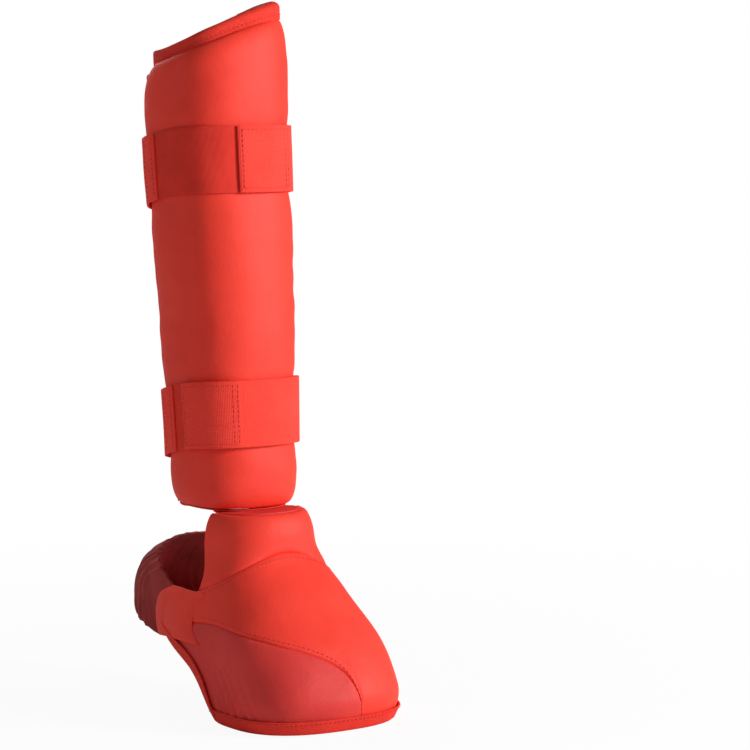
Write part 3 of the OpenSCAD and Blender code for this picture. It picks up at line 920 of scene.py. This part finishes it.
# %% The main panel
def main_pucker(t, v, points):
    calm = np.clip(np.minimum(v, 1 - v) * 5, 0, 1)
    return seam_dip(v, 0.05, 0.07) + calm * (ripple(points, 31, 70) * 0.5 + ripple(points, 33, 28) * 0.15)


main_panel = pad("instep_main_pad", 170, 90, foot_panel(-1, 1, side_seam, collar_seam, 0.0, main_pucker),
                 foot_panel(-1, 1, side_seam, collar_seam, FOAM_OUT - 0.2))


def main_gap(u, z):
    t = u / reach(z)
    return np.minimum(np.minimum(z - side_seam(t), collar_seam(t) - z), (1 - np.abs(t)) * 70)


swell(main_panel, held(FOOT, -1.2, main_gap), pressure=20)
dress(main_panel, "instep", panel_fabric, ["instep_main_panel"])


# %% The side panel, with puckers over the hem's rear corner
def side_pucker(t, v, points):
    corner_here = np.exp(-((t + 0.74) / 0.16) ** 2) * np.exp(-((v - 0.12) / 0.34) ** 2)
    folds = np.sin(t * 92 + 3.2 * v + 1.4 * np.sin(v * 5)) * 1.5
    calm = np.clip(np.minimum(v * 9, (1 - v) * 6), 0, 1)
    return seam_dip(v, 0.05, 0.09) + calm * (corner_here * folds + ripple(points, 41, 46) * 0.5)


side_panel = pad("instep_side_pad", 130, 56, foot_panel(-1, 1, hem_line, side_seam, 0.1, side_pucker),
                 foot_panel(-1, 1, hem_line, side_seam, FOAM_OUT - 0.2))
dress(side_panel, "instep", side_fabric, ["instep_side_panel"])


# %% The hem's tape
def pad_edge():
    side_z = np.linspace(79.5, PAD_HEM, 50)
    run_t = np.linspace(-1, 1, 200)
    ts = np.concatenate([np.full(49, -1.0), run_t, np.full(49, 1.0)])
    zs = np.concatenate([side_z[:-1], np.full(200, PAD_HEM), side_z[::-1][1:]])
    points = on_last(FOOT, ts * reach(zs), zs)
    run = distance_along(points)
    run /= run[-1]

    def edge(s):
        t, z = np.interp(s, run, ts), np.interp(s, run, zs)
        u = t * reach(z)
        return on_last(FOOT, u, z), outward(FOOT, u, z)
    return edge


hem_band = tape_round("instep_hem_tape", pad_edge(), 1.3, PAD_IN - 0.6, 8.5, side=1, columns=360, length=480)
dress(hem_band, "instep", tape_weave, ["instep_hem_binding"])


# %% The collar
COLLAR_OUTER, COLLAR_INNER = -0.84, 0.8   # its ends, as shares of the pad's reach


def collar_pucker(t, v, points):
    top = corner(np.clip((v - 0.62) / 0.38, 0, 1)) * -4.5
    base = corner(np.clip(1 - v / 0.16, 0, 1)) * -1.6
    return top + base + 1.2 * np.sin(np.clip(v, 0, 1) * math.pi) + ripple(points, 51, 45) * 0.3


collar = pad("collar_pad", 120, 40,
             foot_panel(COLLAR_OUTER, COLLAR_INNER, collar_seam, collar_edge, 0.3, collar_pucker),
             foot_panel(COLLAR_OUTER, COLLAR_INNER, collar_seam, collar_edge, -7.5))


def collar_gap(u, z):
    t = u / reach(z)
    return np.minimum(np.minimum(z - collar_seam(t), COLLAR_TOP - z), (-COLLAR_OUTER - np.abs(t)) * 70)


swell(collar, held(FOOT, -6, collar_gap), pressure=40)
dress(collar, "instep", panel_fabric, ["collar_cover", "collar_foam", "collar_lining"])

# %% [markdown]
# ## The web, the sole strap and the heel strap
# A web of fabric ties the collar to the sleeve. The foot is held by an elastic under the sole
# and by a soft gathered band behind the heel, which hooks onto the outer side. Gathers come
# from sewing a longer fabric onto stretched elastic, so their folds run across the band.

# %% The web
OVER_BINDING = 2.2
WEB_REACH = 66   # how far round the web goes on each side
WEB_START, WEB_STOP = 0.025, 0.036   # two distances, in metres, out from the origin at the collar's height


def web_place(side):
    def place(s, t):
        u = side * mix(0, WEB_REACH, s if side > 0 else 1 - s)
        inside = at(SHIN, u, HEM, LINING_IN)
        outside = at(FOOT, u, COLLAR_TOP, -8.1)
        points = mix(inside, outside, t[:, None])
        points[:, 2] = COLLAR_TOP - 0.5 * np.sin(t * math.pi)
        return points
    return place


for side, hand, nodes in ((1, "left", ["instep_gusset"]), (-1, "right", [])):
    web = sheet_of(f"instep_web_{hand}", 32, 12, web_place(side), -1.3, 60, 26, 0.2)
    lean, level = np.array([side * 0.545, -0.839, 0]), np.array([0, 0, 0.143])
    bend = ("shin", "instep", tuple(lean * WEB_START + level), tuple(lean * WEB_STOP + level))
    dress(web, bend, side_fabric, nodes)
    declare_band(web, middle_length(web_place(side), along=False), middle_length(web_place(side)))


# %% Bands slung behind the foot
def slung(start, stop, pull, s):
    s = s[:, None]
    return (start * (1 - s) ** 3 + (start + pull) * 3 * s * (1 - s) ** 2
            + (stop + pull) * 3 * s * s * (1 - s) + stop * s ** 3)


SOLE_LOW, SOLE_HIGH = 4, 4 + 42 * 0.72
SOLE_OUT = PAD_IN - 2.5
LAP, LAP_SHARE = 14, 0.12   # each sewn lap's angle, and its share of the length


def sole_place(d):
    def place(s, t):
        z = mix(SOLE_LOW, SOLE_HIGH, t)
        e = reach(z)
        pull = np.array([0, 34 + (d - SOLE_OUT) * 1.3, -2.0])
        left, right_end = at(FOOT, -e, z, d), at(FOOT, e, z, d)
        free = slung(left, right_end, pull, np.clip((s - LAP_SHARE) / 0.76, 0, 1))
        lap_left = at(FOOT, -(e - LAP * np.clip(1 - s / LAP_SHARE, 0, 1)), z, d)
        lap_right = at(FOOT, e - LAP * np.clip((s - 0.88) / LAP_SHARE, 0, 1), z, d)
        out = np.where(s[:, None] < LAP_SHARE, lap_left, free)
        return np.where(s[:, None] > 0.88, lap_right, out)
    return place


sole = sheet_of("sole_elastic", 110, 16, sole_place(SOLE_OUT), 1.6, 190, 42)
dress(sole, "instep", elastic_weave, ["sole_strap"])
sole_width = middle_length(sole_place(SOLE_OUT), along=False)
declare_band(sole, sole_width, middle_length(sole_place(SOLE_OUT)))

HEEL_LOW, HEEL_HIGH, HEEL_THICK, HEEL_GAP = 52, 87, 2.2, 2
HEEL_IN = OVER_BINDING + 0.4
HEEL_TAB_IN = HEEL_IN + 0.8
HEEL_LEVEL = 69.0   # the height at which the band leaves its sewn end
PULL_LOW, PULL_HIGH = np.array([0, 105, 18.0]), np.array([0, 78, 36.0])   # how it is slung
GATHER_DEPTH = 0.9
TAB_DROP = 3.3   # how far the tab comes down onto the ear


def gathers(s, t):
    """Folds across the band, deep in its free middle and flat where it is sewn."""
    free = np.clip(np.minimum(s, 1 - s) * 9, 0, 1)
    lines = np.sin(s * 118 + 1.6 * np.sin(t * 4 + s * 19))
    lines = lines + 0.5 * np.sin(s * 223 + 2.2 * np.sin(t * 5 - s * 31))
    ends = 0.55 + 0.45 * np.abs(2 * t - 1)
    return lines * free * ends


def heel_place(outside):
    def place(s, t):
        z = mix(HEEL_LOW, HEEL_HIGH, t)
        d = HEEL_THICK if outside else 0
        e = reach(z) + HEEL_GAP
        pull = mix(PULL_LOW, PULL_HIGH, t[:, None])
        pull = pull - np.array([0, (0 if outside else HEEL_THICK) * 1.3, 0])
        start, stop = at(FOOT, e, z, HEEL_IN + d), at(FOOT, -e, z, HEEL_TAB_IN + d)
        points = slung(start, stop, pull, s)
        away = points - np.array([0, -10.0, 0])
        away[:, 2] = 0
        away /= np.linalg.norm(away, axis=1, keepdims=True)
        return points + away * (gathers(s, t) * GATHER_DEPTH)[:, None]
    return place


heel = pad("heel_band", 260, 26, heel_place(False), heel_place(True))
root = at(FOOT, np.array([reach(HEEL_LEVEL) + HEEL_GAP]), np.array([HEEL_LEVEL]), HEEL_IN)[0] * MM
bend = ("instep", "heel_strap", tuple(root), tuple(root + np.array([-0.0048, 0.0064, 0])))
dress(heel, bend, heel_weave, ["heel_strap"])


def heel_middle(s, t):
    """The band's middle line, without its gathers."""
    turn = reach(HEEL_LEVEL) + HEEL_GAP + 0 * s
    inner_end = at(FOOT, turn, HEEL_LEVEL + 0 * s, HEEL_IN)
    outer_end = at(FOOT, -turn, HEEL_LEVEL + 0 * s, HEEL_IN)
    return slung(inner_end, outer_end, (PULL_LOW + PULL_HIGH) / 2, s)


print("heel band, along its middle:", round(middle_length(heel_middle)), "mm")


def heel_patch(name, side, lap, lead, z0, z1, d0, d1, drop=0.0):
    def place(s, t):
        z = mix(z0, z1, t)
        back = mix(lap, lead, s) if side > 0 else mix(lead, lap, s)
        close = drop * np.clip(back / 9, 0, 1) + 0.5 * drop * corner(np.clip((back - 20) / 13, 0, 1))
        return at(FOOT, side * (reach(z) - back), z, d1 - close)
    return sheet_of(name, 30, 20, place, d1 - d0, 34, z1 - z0)


sewn_end = heel_patch("heel_sewn_end", 1, 12, -HEEL_GAP - 0.4, HEEL_LOW, HEEL_HIGH, OVER_BINDING,
                      HEEL_IN + HEEL_THICK)
dress(sewn_end, "instep", heel_weave, ["heel_strap_anchor"])
heel_tab = heel_patch("heel_tab", -1, 34, -HEEL_GAP, HEEL_LOW, HEEL_HIGH, HEEL_TAB_IN + HEEL_THICK - 0.9,
                      HEEL_TAB_IN + HEEL_THICK, drop=TAB_DROP)
dress(heel_tab, "heel_strap", panel_fabric, ["heel_strap_tab"])
heel_grip = heel_patch("heel_grip", -1, 23, 9, HEEL_LOW + 4, HEEL_HIGH - 4, 1.4, 1.7)
dress(heel_grip, "heel_strap", hook_tape, ["heel_tab_hooks"])
heel_loops = heel_patch("heel_loops", -1, 24, 9, HEEL_LOW + 2, HEEL_HIGH - 2, 0.5, 1.3)
dress(heel_loops, "instep", loop_pile, ["heel_loop_patch"])

# %% [markdown]
# ## Stitch lines
# Rows of thread show where the panels and tapes are sewn down. One stitch is modelled and
# repeated along each seam, lying just on the cloth.

# %% Seam stitches
line = np.linspace(-0.78, 0.78, 220)
arch = stitches("arch_stitches", *on_foot(line, collar_seam(line) - 3.4, 0.1))
dress(arch, "instep", thread)
line = np.linspace(-0.97, 0.1, 200)
side_row = stitches("side_seam_stitches", *on_foot(line, side_seam(line) + 3.0, 0.0))
dress(side_row, "instep", thread)
line = np.linspace(-0.98, 0.98, 400)
hem_row = stitches("hem_stitches", *on_foot(line, np.full(400, PAD_HEM + 6.6), 2.3))
dress(hem_row, "instep", thread)
turn = np.linspace(-SHELL_ANGLE + 1, SHELL_ANGLE - 1, 200)
rim_out = SHELL_IN + 1.4 + rim_flare((turn / SHELL_ANGLE + 1) / 2)
rim_row = stitches("rim_stitches", at(SHIN, turn, rim(turn) - 5, rim_out), outward(SHIN, turn, rim(turn) - 5))
dress(rim_row, "shin", thread)
print("stitch rows:", len(arch.data.polygons) // 40, len(hem_row.data.polygons) // 40)

# %% [markdown]
# ## Floor, backdrop and light
# A studio shows such a product on white. Camera rays see a plain white world, and the pale
# floor keeps only the guard's soft shadow, and fades to white with distance. The key lamp is to
# the camera's right, so that the front of the sleeve is bright and its outer side falls into
# deeper red. The lamp behind the left is weak, and one at the back lights the edges.

# %% Stage
def white_light(tree, kind, strength):
    """A node that gives white light."""
    made = tree.nodes.new(kind)
    made.inputs["Color"].default_value = (1, 1, 1, 1)
    made.inputs["Strength"].default_value = strength
    return made


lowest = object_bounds()[0][2] - 0.0005
deselect()
bpy.ops.mesh.primitive_plane_add(size=9, location=(0, 0, lowest))
floor = bpy.context.object
floor.name = "floor"
floor_finish = bpy.data.materials.new("floor_finish")
floor_finish.use_nodes = True
tree = floor_finish.node_tree
plain = tree.nodes["Principled BSDF"]
plain.inputs["Base Color"].default_value = (0.9, 0.9, 0.9, 1)
plain.inputs["Roughness"].default_value = 0.9
glow = white_light(tree, "ShaderNodeEmission", 1.0)
seen = tree.nodes.new("ShaderNodeLightPath")
share = tree.nodes.new("ShaderNodeMath")
share.operation = "MULTIPLY"
place = tree.nodes.new("ShaderNodeTexCoord")
away = tree.nodes.new("ShaderNodeVectorMath")
away.operation = "LENGTH"
fade = tree.nodes.new("ShaderNodeMapRange")
for socket, value in (("From Min", 0.25), ("From Max", 0.9), ("To Min", 0.93), ("To Max", 1.0)):
    fade.inputs[socket].default_value = value
tree.links.new(place.outputs["Object"], away.inputs[0])
tree.links.new(away.outputs["Value"], fade.inputs["Value"])
tree.links.new(fade.outputs["Result"], share.inputs[1])
blend_in = tree.nodes.new("ShaderNodeMixShader")
tree.links.new(seen.outputs["Is Camera Ray"], share.inputs[0])
tree.links.new(share.outputs[0], blend_in.inputs[0])
tree.links.new(plain.outputs[0], blend_in.inputs[1])
tree.links.new(glow.outputs[0], blend_in.inputs[2])
tree.links.new(blend_in.outputs[0], tree.nodes["Material Output"].inputs["Surface"])
floor.data.materials.append(floor_finish)

world = bpy.data.worlds.new("studio")
bpy.context.scene.world = world
world.use_nodes = True
tree = world.node_tree
tree.nodes.clear()
room = white_light(tree, "ShaderNodeBackground", 0.22)
white = white_light(tree, "ShaderNodeBackground", 1.0)
seen = tree.nodes.new("ShaderNodeLightPath")
both = tree.nodes.new("ShaderNodeMixShader")
output = tree.nodes.new("ShaderNodeOutputWorld")
tree.links.new(seen.outputs["Is Camera Ray"], both.inputs[0])
tree.links.new(room.outputs[0], both.inputs[1])
tree.links.new(white.outputs[0], both.inputs[2])
tree.links.new(both.outputs[0], output.inputs["Surface"])


# %% Lamps
def lamp(name, place, target, size, watts):
    data = bpy.data.lights.new(name, "AREA")
    data.size = size
    data.energy = watts
    made = bpy.data.objects.new(name, data)
    bpy.context.collection.objects.link(made)
    made.location = place
    made.rotation_euler = (Vector(target) - Vector(place)).to_track_quat("-Z", "Y").to_euler()
    return made


MIDDLE = (0, -0.02, 0.25)
lamp("key", (1.3, -1.55, 0.9), MIDDLE, 0.6, 47)
lamp("fill", (-1.7, 0.6, 0.8), MIDDLE, 1.0, 3)
lamp("back", (0.4, 1.9, 1.2), MIDDLE, 1.2, 14)

# %% Finish
bpy.context.scene.view_settings.view_transform = "Standard"
